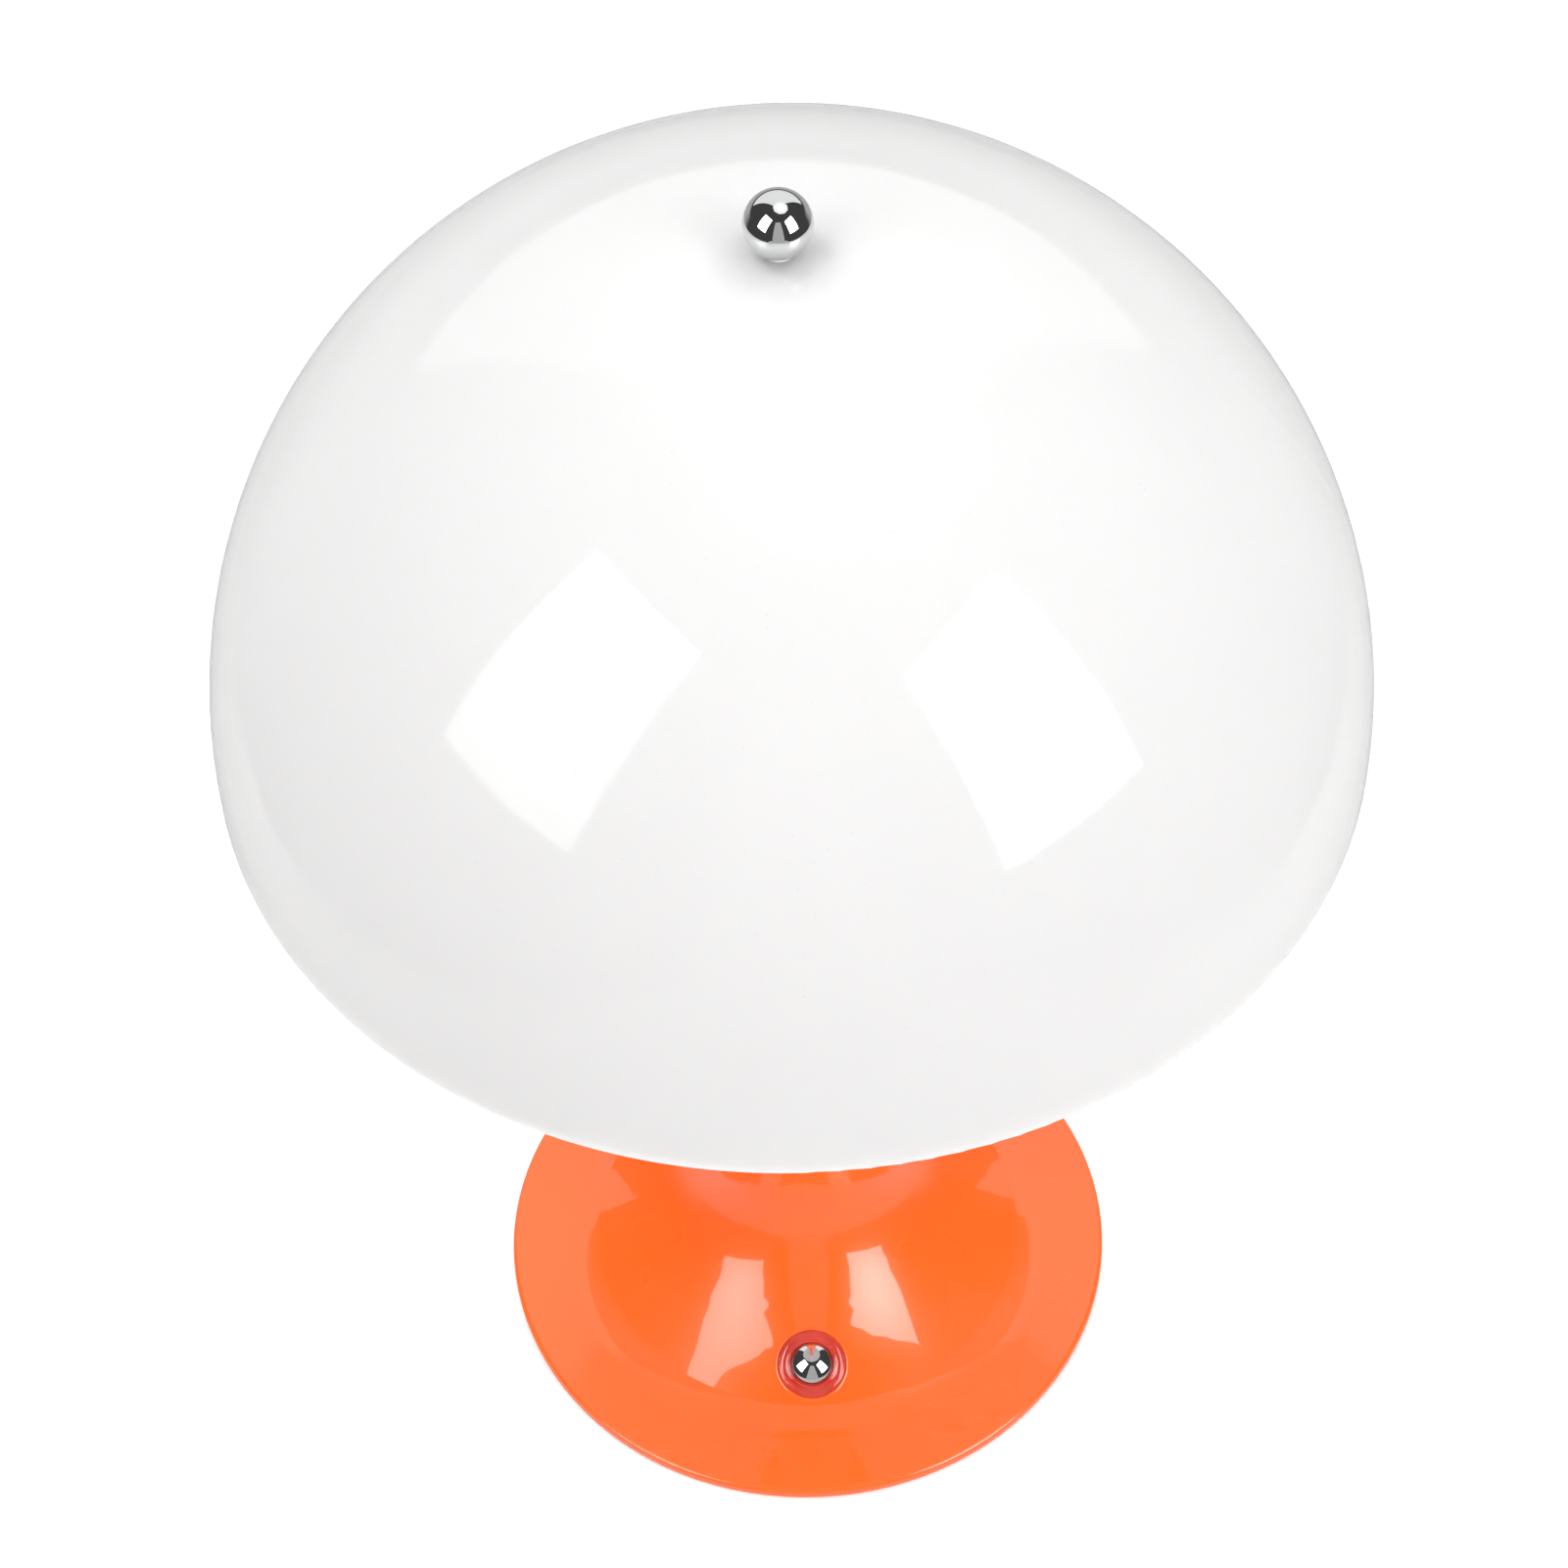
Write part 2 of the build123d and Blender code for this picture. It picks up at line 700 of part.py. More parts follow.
def make_light_tray():
    """The heat-sink tray on the stem, with a spigot in the stem and a boss for the rod."""
    spigot_outer = stem_bore_radius - running_clearance
    wall_inner = tray_radius - tray_wall
    shoulder_inner = wall_inner - tray_shoulder_width
    boss_top = tray_floor_top + rod_boss_height
    tray = turned_polygon(
        (0, stem_top),
        (spigot_bore_radius, stem_top),
        (spigot_bore_radius, stem_top - spigot_length),
        (spigot_outer, stem_top - spigot_length),
        (spigot_outer, stem_top),
        (tray_radius - tray_wall, stem_top),
        (tray_radius, stem_top + tray_wall),
        (tray_radius, tray_top),
        (wall_inner, tray_top),
        (wall_inner, shoulder_top),
        (shoulder_inner, shoulder_top),
        (shoulder_inner, tray_floor_top),
        (rod_boss_radius, tray_floor_top),
        (rod_boss_radius, boss_top),
        (0, boss_top),
    )
    tray -= rod(rod_radius + thread_clearance, stem_top, boss_top)
    tray -= [
        place * rod(lead_hole_radius, stem_top, tray_floor_top)
        for place in (Pos(-lead_spacing, lead_hole_distance), Pos(lead_spacing, lead_hole_distance))
    ]
    tray -= on_circle(rod(screw_radius + thread_clearance, stem_top, tray_floor_top), led_screw_circle, 2)
    for side in (-1, 1):
        tray -= grub_screw(grub_screw_radius + thread_clearance, side)
    return tray


def make_led_board():
    """The ring-shaped light board on the tray's floor."""
    board = ring(led_board_radius, rod_boss_radius + seat_clearance, tray_floor_top, led_board_top)
    board -= on_circle(rod(screw_radius + thread_clearance, tray_floor_top, led_board_top),
                       led_screw_circle, 2)
    board -= [
        place * rod(lead_hole_radius, tray_floor_top, led_board_top)
        for place in (Pos(-lead_spacing, lead_hole_distance), Pos(lead_spacing, lead_hole_distance))
    ]
    return board


def make_led_chips():
    """The light chips, in a circle on their board."""
    length, width, height = led_size
    chip = Pos(0, 0, led_board_top) * Box(width, length, height, align=(Align.CENTER, Align.CENTER, Align.MIN))
    return Compound(on_circle(chip, led_circle, led_count, 15))


def make_diffuser():
    """The opal cap over the light board, seated on the tray's shoulder."""
    side_top = shoulder_top + diffuser_side_height
    inner_radius = diffuser_radius - diffuser_wall
    inner_top = diffuser_top - diffuser_wall
    outer = turned(
        Line((0, shoulder_top), (diffuser_radius, shoulder_top)),
        Line((diffuser_radius, shoulder_top), (diffuser_radius, side_top)),
        Bezier((diffuser_radius, side_top), (diffuser_radius, diffuser_top), (diffuser_flat_radius, diffuser_top)),
        Line((diffuser_flat_radius, diffuser_top), (0, diffuser_top)),
        Line((0, diffuser_top), (0, shoulder_top)),
    )
    inner = turned(
        Line((0, shoulder_top), (inner_radius, shoulder_top)),
        Line((inner_radius, shoulder_top), (inner_radius, side_top)),
        Bezier((inner_radius, side_top), (inner_radius, inner_top), (diffuser_flat_radius, inner_top)),
        Line((diffuser_flat_radius, inner_top), (0, inner_top)),
        Line((0, inner_top), (0, shoulder_top)),
    )
    return outer - inner - rod(rod_radius + seat_clearance, shoulder_top, diffuser_top)


def make_shade():
    """The opal half-sphere shade, with a short straight edge and a hole for the rod."""
    centre = Vector(0, shade_centre_height)
    inner_radius = shade_radius - shade_wall

    def half_circle_arc(radius):
        middle = centre + Vector(radius * sin(radians(45)), radius * cos(radians(45)))
        return ThreePointArc(centre + Vector(radius, 0), middle, centre + Vector(0, radius))

    shade = turned(
        half_circle_arc(shade_radius),
        Line((0, shade_apex), (0, shade_inner_apex)),
        half_circle_arc(inner_radius),
        Line((inner_radius, shade_centre_height), (inner_radius, shade_rim_height)),
        Line((inner_radius, shade_rim_height), (shade_radius, shade_rim_height)),
        Line((shade_radius, shade_rim_height), (shade_radius, shade_centre_height)),
    )
    rim_edges = shade.edges().filter_by(GeomType.CIRCLE).group_by(Axis.Z)[0]
    shade = fillet(rim_edges, min(shade_rim_rounding, 0.45 * shade_wall))
    return shade - rod(rod_radius + shade_hole_clearance, shade_inner_apex - shade_wall, shade_apex)


def make_seat_gasket():
    """The soft washer between the seat plate and the curved inside of the shade."""
    inside = Pos(0, 0, shade_centre_height) * Sphere(shade_radius - shade_wall)
    blank = rod(seat_radius, gasket_bottom, shade_inner_apex)
    return (blank & inside) - rod(rod_radius + seat_clearance, gasket_bottom, shade_inner_apex)


def lead_track_distance():
    """How far behind the axis the leads run, midway between the cell and the stem's bore."""
    track_radius = (cell_radius + stem_bore_radius) / 2
    return sqrt(track_radius**2 - lead_spacing**2)


def make_led_leads():
    """The two leads, from the control board up the stem to the light board."""
    start_y = cell_radius + sleeve_wall + 2 * seat_clearance + 2 * lead_radius
    gather_low = frame_top + sleeve_height
    gather_high = gather_low + 2 * cell_radius
    turn_in = stem_top - spigot_length - 2 * spigot_bore_radius
    leads = []
    for side in (-1, 1):
        x = side * lead_spacing
        track_y = lead_track_distance()
        points = [
            (x, start_y, board_top),
            (x, start_y, gather_low),
            (x, track_y, gather_high),
            (x, track_y, turn_in),
            (x, lead_hole_distance, stem_top - spigot_length),
            (x, lead_hole_distance, led_board_top),
        ]
        path = FilletPolyline(*points, radius=4 * cell_radius)
        section = Plane(origin=points[0], z_dir=(0, 0, 1)) * Circle(lead_radius)
        leads.append(sweep(section, path=path))
    return Compound(leads)


def make_finial_ball():
    """The chrome ball, flat where it sits and bored for the rod."""
    ball = Pos(0, 0, finial_centre) * Sphere(finial_ball_radius)
    ball &= rod(finial_ball_radius, washer_top, finial_centre + finial_ball_radius)
    return ball - rod(rod_radius + running_clearance, washer_top, rod_top + finial_tip_gap)


pieces = {
    "lamp_body": make_lamp_body(),
    "foot_ring": make_foot_ring(),
    "bottom_cover": make_bottom_cover(),
    "cover_screws": Compound(on_circle(countersunk_screw(cover_bottom, cover_screw_length),
                                       cover_screw_circle, cover_screw_count, 45)),
    "weight_screws": Compound(on_circle(countersunk_screw(cover_bottom, weight_screw_length),
                                        weight_screw_circle, weight_screw_count, 90)),
    "counterweight": make_counterweight(),
    "battery_frame": make_battery_frame(),
    "frame_screws": Compound(on_circle(pan_screw(frame_top, frame_screw_length), weight_screw_circle,
                                       weight_screw_count, 30)),
    "battery_cell": make_battery_cell(),
    "battery_cap": make_battery_cap(),
    "control_board": make_control_board(),
    "control_chips": make_control_chips(),
    "board_screws": Compound([place * pan_screw(board_top, board_top - weight_top)
                              for place in board_post_places()]),
    "charging_inlet": make_inlet(),
    "inlet_scoop": make_inlet_scoop(),
    "button_bush": make_button_bush(),
    "bush_nut": make_bush_nut(),
    "button_ball": make_button_ball(),
    "button_plunger": make_button_plunger(),
    "switch_stem": make_switch_stem(),
    "tact_switch": make_tact_switch(),
    "ring_lights": make_ring_lights(),
    "switch_board": make_switch_board(),
    "switch_wedge": make_switch_wedge(),
    "light_tray": make_light_tray(),
    "tray_grub_screws": Compound([grub_screw(grub_screw_radius, side) for side in (-1, 1)]),
    "led_board": make_led_board(),
    "led_chips": make_led_chips(),
    "led_board_screws": Compound(on_circle(pan_screw(led_board_top, tray_floor), led_screw_circle, 2)),
    "led_leads": make_led_leads(),
    "light_diffuser": make_diffuser(),
    "diffuser_washer": ring(lock_washer_radius, rod_radius + seat_clearance, diffuser_top,
                            diffuser_top + lock_washer_thickness),
    "diffuser_nut": hex_nut(diffuser_top + lock_washer_thickness, nut_height),
    "centre_rod": rod(rod_radius, stem_top, rod_top),
    "seat_nut": hex_nut(seat_plate_bottom - nut_height, nut_height),
    "seat_plate": ring(seat_radius, rod_radius + thread_clearance, seat_plate_bottom, gasket_bottom),
    "seat_gasket": make_seat_gasket(),
    "shade": make_shade(),
    "finial_washer": ring(finial_washer_radius, rod_radius + running_clearance, shade_apex, washer_top),
    "finial_ball": make_finial_ball(),
}

os.makedirs("parts", exist_ok=True)
for name, piece in pieces.items():
    export_step(piece, f"parts/{name}.step")
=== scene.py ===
"""The looks of a mushroom table lamp: an opal dome, a trumpet base in orange paint, a chrome
ball on top and a chrome ball push button in a coral ring. Lengths are in metres. +Z is up and
the button faces -Y.
"""

import json
import math

import bmesh
import bpy
from mathutils import Euler, Matrix, Vector
from mathutils.bvhtree import BVHTree


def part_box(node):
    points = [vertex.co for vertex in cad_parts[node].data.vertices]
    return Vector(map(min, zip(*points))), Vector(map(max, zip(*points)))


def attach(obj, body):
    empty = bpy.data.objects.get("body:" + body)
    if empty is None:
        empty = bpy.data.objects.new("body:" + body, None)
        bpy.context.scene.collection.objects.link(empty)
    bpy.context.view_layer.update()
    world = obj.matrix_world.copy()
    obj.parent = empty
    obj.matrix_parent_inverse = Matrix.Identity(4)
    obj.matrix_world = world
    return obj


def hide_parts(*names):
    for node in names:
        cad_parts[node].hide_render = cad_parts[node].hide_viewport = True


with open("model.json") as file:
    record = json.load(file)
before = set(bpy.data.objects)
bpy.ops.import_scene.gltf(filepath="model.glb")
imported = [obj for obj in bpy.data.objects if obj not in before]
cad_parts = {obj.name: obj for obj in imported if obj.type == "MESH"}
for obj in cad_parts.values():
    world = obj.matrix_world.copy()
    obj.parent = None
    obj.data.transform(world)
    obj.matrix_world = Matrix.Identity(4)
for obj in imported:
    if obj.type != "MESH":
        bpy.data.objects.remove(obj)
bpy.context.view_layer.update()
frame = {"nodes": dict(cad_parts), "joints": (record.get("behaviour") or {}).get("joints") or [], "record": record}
scene = bpy.context.scene

# Places read from the frame
shade_low, shade_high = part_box("shade")
rod_low, rod_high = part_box("centre_rod")
dome_centre = Vector((0, 0, shade_high.z - (shade_high.x - shade_low.x) / 2))

# The button's own frame: its origin on the flare, and Z outwards along the line it travels
BUTTON_DISTANCE = 0.0368
BUTTON_HEIGHT = 0.009487
button_joint = next(joint for joint in frame["joints"] if joint["name"] == "button_press")
button_out = -Vector(button_joint["axis"])
button_turn = button_out.to_track_quat("Z", "X").to_matrix().to_4x4()
button_frame = Matrix.Translation((0, -BUTTON_DISTANCE, BUTTON_HEIGHT)) @ button_turn

# Button cap, in the button's frame: a shallow dome with a rounded edge, and its shank
CAP_DOME_RADIUS = 0.0060
CAP_RADIUS = 0.0039
CAP_EDGE_RADIUS = 0.0003
CAP_TOP = 0.0042
CAP_FLAT = -0.0010
SHANK_RADIUS = 0.0015
SHANK_END = -0.0027
CAP_STEPS = 128
CAP_DOME_ROWS = 14
CAP_EDGE_ROWS = 6

# Guide ring of the bush, between the cap and the socket's wall
GUIDE_SECTION = [(0.00398, -0.0012), (0.00398, 0.00030), (0.00402, 0.00040), (0.00410, 0.00045),
                 (0.00420, 0.00045), (0.00429, 0.00040), (0.00429, -0.0012), (0.00398, -0.0012)]
GUIDE_STEPS = 96

# Rolled edge of the paint round the bush
EDGE_SECTION = [(0.00690, -0.00010), (0.00695, 0.00008), (0.00708, 0.00016), (0.00724, 0.00017),
                (0.00742, 0.00010), (0.00765, -0.00006)]
EDGE_STEPS = 120
EDGE_RAY_START = 0.004

# Cross recesses of the screws in the cover, which narrow from the mouth to the foot
CROSS_LENGTH = 0.0026
CROSS_WIDTH = 0.0007
CROSS_DEPTH = 0.0009
CROSS_CLEARANCE = 0.0002
CROSS_MOUTH_SHARE = 1.08
CROSS_FOOT_SHARE = 0.72
CROSS_FIRST_TURN = 0.5
CROSS_TURN_STEP = 1.1

# Thread of the rod, right-handed, on the end that the finial climbs
THREAD_PITCH = 0.0007
THREAD_DEPTH = 0.00032
THREAD_LENGTH = 0.0154
THREAD_CHAMFER = 0.0004
THREAD_SLOPE = 1.3
THREAD_CREST_SHARE = 0.15
THREAD_STEPS = 32
ROWS_PER_TURN = 8

# Camera: the photograph's viewpoint, measured from the lamp's foot
PHOTO_SIZE = 1601
CAMERA_PLACE = Vector((-0.00108, -0.39941, 0.62681))
CAMERA_DIP = math.radians(50.205)
CAMERA_ROLL = math.radians(-1.80)
FOCAL_PIXELS = 3533.3
OPTICAL_AXIS_PIXEL = Vector((805.3, 810.5))
SENSOR_WIDTH = 36.0

# Softboxes: their direction from the dome's centre (degrees round from the front, degrees up),
# and the corners of each cloth in its own plane
SIDE_BOX_DISTANCE = 1.15
LEFT_BOX = (-52.2, 34.3)
LEFT_BOX_CORNERS = [(-0.23, 0.47), (0.34, 0.43), (0.26, -0.51), (-0.38, -0.42)]
RIGHT_BOX = (49.0, 28.7)
RIGHT_BOX_CORNERS = [(0.25, 0.47), (0.35, -0.44), (-0.29, -0.46), (-0.30, 0.40)]
TOP_BOX_DISTANCE = 1.3
TOP_BOX_ACROSS = 0.95
TOP_BOX = (102.0, 82.0)
OVERHEAD = (180.0, 70.0)
OVERHEAD_DISTANCE = 1.9
OVERHEAD_SIZE = (3.2, 2.4)

# How bright the rim of each cloth is, as a share of its middle
SIDE_BOX_RIM = 0.75
TOP_BOX_RIM = 0.8
OVERHEAD_RIM = 1.0

# White wall behind the lamp, seen only in reflections: half its angle round from the back
WALL_HALF_ANGLE = math.radians(49.0)
WALL_DISTANCE = 1.6
WALL_FOOT = 0.57
WALL_HEIGHT = 1.9
WALL_BEND = [(1.0, 0.7), (0.75, 0.95), (0.35, 1.0)]
WALL_END = 0.1
WALL_HALF_STEPS = 6

# Grey card round the camera, seen only in reflections
CARD_HALF_WIDTH = 0.16
CARD_FOOT = -0.05
CARD_TOP = 1.1
CARD_SETBACK = 0.05
CARD_LEAN = 0.35

# Strip of ground that shows in mirrors, as a band of heights and how far it lies behind
GROUND_BAND = (-0.02, 0.12)
GROUND_BEHIND = (0.25, 0.6)

# How brightly each part of the studio glows
GLOW = {"left": 5.9, "right": 8.3, "top": 1.5, "wall": 1.0, "overhead": 5.8, "studio": 0.0,
        "mirrored": 0.06, "ground": 0.5, "floor": 0.15, "paper": 0.45, "card": 0.5,
        "far floor": 0.84, "backdrop": 0.98}

# White paper under the lamp
PAPER_HALF_WIDTH = 0.36
PAPER_FRONT = -0.9
PAPER_BACK = 0.6

# Floor, whose own glow grows between two distances from the lamp
FLOOR_SIZE = 30.0
FLOOR_NEAR = 0.5
FLOOR_FAR = 2.0

SQUARE = ((-1, -1), (1, -1), (1, 1), (-1, 1))
WHITE = (1.0, 1.0, 1.0, 1.0)


def socket(group, name, kind, in_out, value=None):
    """Adds a named socket to a shader group."""
    made = group.interface.new_socket(name=name, in_out=in_out, socket_type=f"NodeSocket{kind}")
    if value is not None:
        made.default_value = value
    return made


class Nodes:
    """Short calls for adding and joining the nodes of one tree."""

    def __init__(self, tree):
        self.tree = tree

    def add(self, kind, **settings):
        node = self.tree.nodes.new(kind)
        for name, value in settings.items():
            setattr(node, name, value)
        return node

    def join(self, source, target):
        self.tree.links.new(source, target)

    def feed(self, node, name, value):
        """Sets an input to a number or colour, or joins it to another node's output."""
        entry = node.inputs[name]
        if isinstance(value, bpy.types.NodeSocket):
            self.join(value, entry)
        else:
            entry.default_value = value

    def math(self, operation, first, second=0.0):
        node = self.add("ShaderNodeMath", operation=operation)
        self.feed(node, 0, first)
        self.feed(node, 1, second)
        return node.outputs[0]

    def noise(self, vector, scale, detail=2.0, roughness=0.5):
        node = self.add("ShaderNodeTexNoise")
        self.feed(node, "Vector", vector)
        self.feed(node, "Scale", scale)
        self.feed(node, "Detail", detail)
        self.feed(node, "Roughness", roughness)
        return node.outputs["Fac"]

    def range(self, value, low, high, new_low=0.0, new_high=1.0):
        node = self.add("ShaderNodeMapRange")
        for name, number in (("Value", value), ("From Min", low), ("From Max", high),
                             ("To Min", new_low), ("To Max", new_high)):
            self.feed(node, name, number)
        return node.outputs["Result"]

    def mix_colour(self, factor, first, second):
        node = self.add("ShaderNodeMix", data_type="RGBA")
        self.feed(node, 0, factor)
        self.feed(node, 6, first)
        self.feed(node, 7, second)
        return node.outputs[2]


def new_group(name, inputs, outputs):
    """A shader group with number inputs and their usual values, and number outputs."""
    group = bpy.data.node_groups.new(name, "ShaderNodeTree")
    for label, value in inputs.items():
        socket(group, label, "Float", "INPUT", value)
    for label in outputs:
        socket(group, label, "Float", "OUTPUT")
    n = Nodes(group)
    place = n.add("ShaderNodeTexCoord").outputs["Object"]
    return group, n, n.add("NodeGroupInput").outputs, n.add("NodeGroupOutput").inputs, place


def lacquer_ripple_group():
    """Orange peel and slow waviness of a sprayed or moulded gloss surface."""
    group, n, given, out, place = new_group(
        "lacquer ripple", {"Peel Scale": 900.0, "Wave Scale": 45.0, "Wave Share": 0.6}, ["Height"])
    peel = n.noise(place, given["Peel Scale"], 1.0)
    wave = n.noise(place, given["Wave Scale"], 1.0)
    n.join(n.math("ADD", peel, n.math("MULTIPLY", wave, given["Wave Share"])), out["Height"])
    return group


def handling_group():
    """Faint smears and fine dust where a surface has been wiped and handled."""
    group, n, given, out, place = new_group(
        "handling marks", {"Smear Scale": 24.0, "Dust Scale": 2600.0, "Dust Share": 0.5},
        ["Smear", "Dust"])
    stretched = n.add("ShaderNodeMapping")
    n.feed(stretched, "Vector", place)
    n.feed(stretched, "Rotation", (0.3, 0.2, 0.7))
    n.feed(stretched, "Scale", (1.0, 2.6, 1.0))
    smear = n.noise(stretched.outputs["Vector"], given["Smear Scale"], 3.0, 0.55)
    n.join(n.range(smear, 0.42, 0.72), out["Smear"])
    specks = n.noise(place, given["Dust Scale"], 0.0)
    dust = n.range(specks, 0.80, 0.86)
    n.join(n.math("MULTIPLY", dust, given["Dust Share"]), out["Dust"])
    return group


def scratches_group():
    """Hair-fine polishing marks, in two directions."""
    group, n, given, out, place = new_group(
        "polishing marks", {"Scale": 500.0, "Strength": 1.0}, ["Marks"])
    marks = []
    for turn in (0.4, -0.9):
        line = n.add("ShaderNodeMapping")
        n.feed(line, "Vector", place)
        n.feed(line, "Rotation", (turn, 0.5 * turn, turn))
        n.feed(line, "Scale", (1.0, 0.04, 1.0))
        marks.append(n.range(n.noise(line.outputs["Vector"], given["Scale"], 2.0), 0.60, 0.70))
    both = n.math("MAXIMUM", marks[0], marks[1])
    n.join(n.math("MULTIPLY", both, given["Strength"]), out["Marks"])
    return group


def moulded_grain_group():
    """The spark-eroded grain of a moulded plastic skin."""
    group, n, given, out, place = new_group("moulded grain", {"Scale": 1800.0}, ["Height", "Tone"])
    cells = n.add("ShaderNodeTexVoronoi", feature="SMOOTH_F1")
    n.feed(cells, "Vector", place)
    n.feed(cells, "Scale", given["Scale"])
    rough = n.noise(place, given["Scale"], 2.0)
    n.join(n.math("ADD", cells.outputs["Distance"], n.math("MULTIPLY", rough, 0.5)), out["Height"])
    n.join(n.noise(place, 60.0, 3.0), out["Tone"])
    return group


def lathe_group():
    """Fine rings left round the lamp's axis by a lathe tool."""
    group, n, given, out, place = new_group(
        "lathe rings", {"Pitch Scale": 9000.0}, ["Height", "Tone"])
    parts = n.add("ShaderNodeSeparateXYZ")
    n.join(place, parts.inputs[0])
    across = n.math("POWER", parts.outputs["X"], 2.0)
    along = n.math("POWER", parts.outputs["Y"], 2.0)
    radius = n.math("SQRT", n.math("ADD", across, along))
    travel = n.math("ADD", radius, parts.outputs["Z"])
    rings = n.math("SINE", n.math("MULTIPLY", travel, given["Pitch Scale"]))
    uneven = n.noise(place, 120.0, 2.0)
    n.join(n.math("MULTIPLY", rings, uneven), out["Height"])
    n.join(n.range(rings, -1.0, 1.0), out["Tone"])
    return group


GROUPS = {
    "ripple": lacquer_ripple_group(),
    "handling": handling_group(),
    "scratches": scratches_group(),
    "grain": moulded_grain_group(),
    "lathe": lathe_group(),
}


class Finish:
    """One material: its Principled shader, and calls that drive it from the shared groups."""

    def __init__(self, name, **settings):
        self.material = bpy.data.materials.new(name)
        self.material.use_nodes = True
        self.n = Nodes(self.material.node_tree)
        self.shader = self.material.node_tree.nodes["Principled BSDF"]
        for label, value in settings.items():
            self.set(label.replace("_", " ").title().replace("Ior", "IOR"), value)

    def set(self, name, value):
        self.n.feed(self.shader, name, value)

    def group(self, name, **values):
        node = self.n.add("ShaderNodeGroup")
        node.node_tree = GROUPS[name]
        for label, value in values.items():
            self.n.feed(node, label.replace("_", " ").title(), value)
        return node.outputs

    def bump(self, height, distance, strength=1.0):
        node = self.n.add("ShaderNodeBump")
        self.n.feed(node, "Height", height)
        self.n.feed(node, "Distance", distance)
        self.n.feed(node, "Strength", strength)
        self.set("Normal", node.outputs["Normal"])

    def roughness(self, mask, smooth, rough):
        self.set("Roughness", self.n.range(mask, 0.0, 1.0, smooth, rough))

    def colour(self, mask, first, second):
        self.set("Base Color", self.n.mix_colour(mask, (*first, 1.0), (*second, 1.0)))


def orange_paint():
    """Glossy orange lacquer over metal, with a hint of orange peel."""
    finish = Finish("orange paint", coat_weight=1.0, coat_roughness=0.02, coat_ior=1.5,
                    specular_ior_level=0.3)
    ripple = finish.group("ripple", peel_scale=700.0, wave_scale=40.0, wave_share=0.5)
    marks = finish.group("handling", smear_scale=18.0, dust_share=0.35)
    tone = finish.n.noise(finish.n.add("ShaderNodeTexCoord").outputs["Object"], 30.0, 2.0)
    finish.colour(tone, (0.95, 0.122, 0.012), (0.97, 0.132, 0.015))
    finish.roughness(marks["Smear"], 0.22, 0.34)
    finish.bump(ripple["Height"], 0.00001)
    return finish.material


def opal_shade():
    """Glossy opal acrylic, white right through, that lets light into its surface."""
    finish = Finish("opal acrylic", ior=1.49, specular_ior_level=0.3, subsurface_weight=0.6,
                    subsurface_radius=(0.009, 0.009, 0.009), subsurface_scale=1.0)
    ripple = finish.group("ripple", peel_scale=260.0, wave_scale=18.0, wave_share=1.0)
    marks = finish.group("handling", smear_scale=14.0, dust_share=0.5)
    finish.colour(marks["Dust"], (0.55, 0.55, 0.55), (0.45, 0.44, 0.42))
    finish.roughness(marks["Smear"], 0.045, 0.075)
    finish.bump(ripple["Height"], 0.000012)
    return finish.material


def opal_diffuser():
    """Satin opal plastic over the light board."""
    finish = Finish("satin opal plastic", ior=1.49, subsurface_weight=0.4,
                    subsurface_radius=(0.003, 0.003, 0.003), subsurface_scale=1.0)
    grain = finish.group("grain", scale=2600.0)
    finish.colour(grain["Tone"], (0.80, 0.80, 0.78), (0.84, 0.84, 0.82))
    finish.roughness(grain["Tone"], 0.32, 0.42)
    finish.bump(grain["Height"], 0.000008)
    return finish.material


def chrome():
    """Bright chrome plating, with faint polishing marks."""
    finish = Finish("chrome", metallic=1.0)
    marks = finish.group("scratches", scale=700.0, strength=0.6)
    smear = finish.group("handling", smear_scale=160.0)
    finish.colour(smear["Smear"], (0.74, 0.745, 0.75), (0.68, 0.685, 0.69))
    finish.roughness(marks["Marks"], 0.025, 0.09)
    return finish.material


def white_nylon():
    finish = Finish("white nylon", ior=1.5)
    grain = finish.group("grain", scale=3000.0)
    finish.colour(grain["Tone"], (0.80, 0.80, 0.79), (0.86, 0.86, 0.85))
    finish.roughness(grain["Tone"], 0.25, 0.38)
    finish.bump(grain["Height"], 0.000006)
    return finish.material


def coral_plastic():
    """Translucent coral red plastic of the button's bush."""
    finish = Finish("coral plastic", ior=1.49, coat_weight=0.6, subsurface_weight=0.5,
                    subsurface_radius=(0.0012, 0.0004, 0.0003), subsurface_scale=1.0)
    ripple = finish.group("ripple", peel_scale=1500.0, wave_scale=200.0, wave_share=0.8)
    marks = finish.group("handling", smear_scale=120.0)
    finish.colour(marks["Smear"], (0.66, 0.062, 0.040), (0.60, 0.052, 0.034))
    finish.roughness(marks["Smear"], 0.04, 0.09)
    finish.bump(ripple["Height"], 0.000003)
    return finish.material


def grained_plastic(name, dark, light, smooth, rough, grain_scale, depth):
    """A moulded plastic or rubber: a tone between two colours, and grain in its skin."""
    finish = Finish(name)
    grain = finish.group("grain", scale=grain_scale)
    finish.colour(grain["Tone"], dark, light)
    finish.roughness(grain["Tone"], smooth, rough)
    finish.bump(grain["Height"], depth)
    return finish.material


def turned_metal(name, dark, light, smooth, rough, pitch_scale, depth):
    """A metal with lathe rings: a tone between two colours, and ridges in its skin."""
    finish = Finish(name, metallic=1.0)
    rings = finish.group("lathe", pitch_scale=pitch_scale)
    marks = finish.group("handling", smear_scale=90.0)
    finish.colour(marks["Smear"], dark, light)
    finish.roughness(rings["Tone"], smooth, rough)
    finish.bump(rings["Height"], depth)
    return finish.material


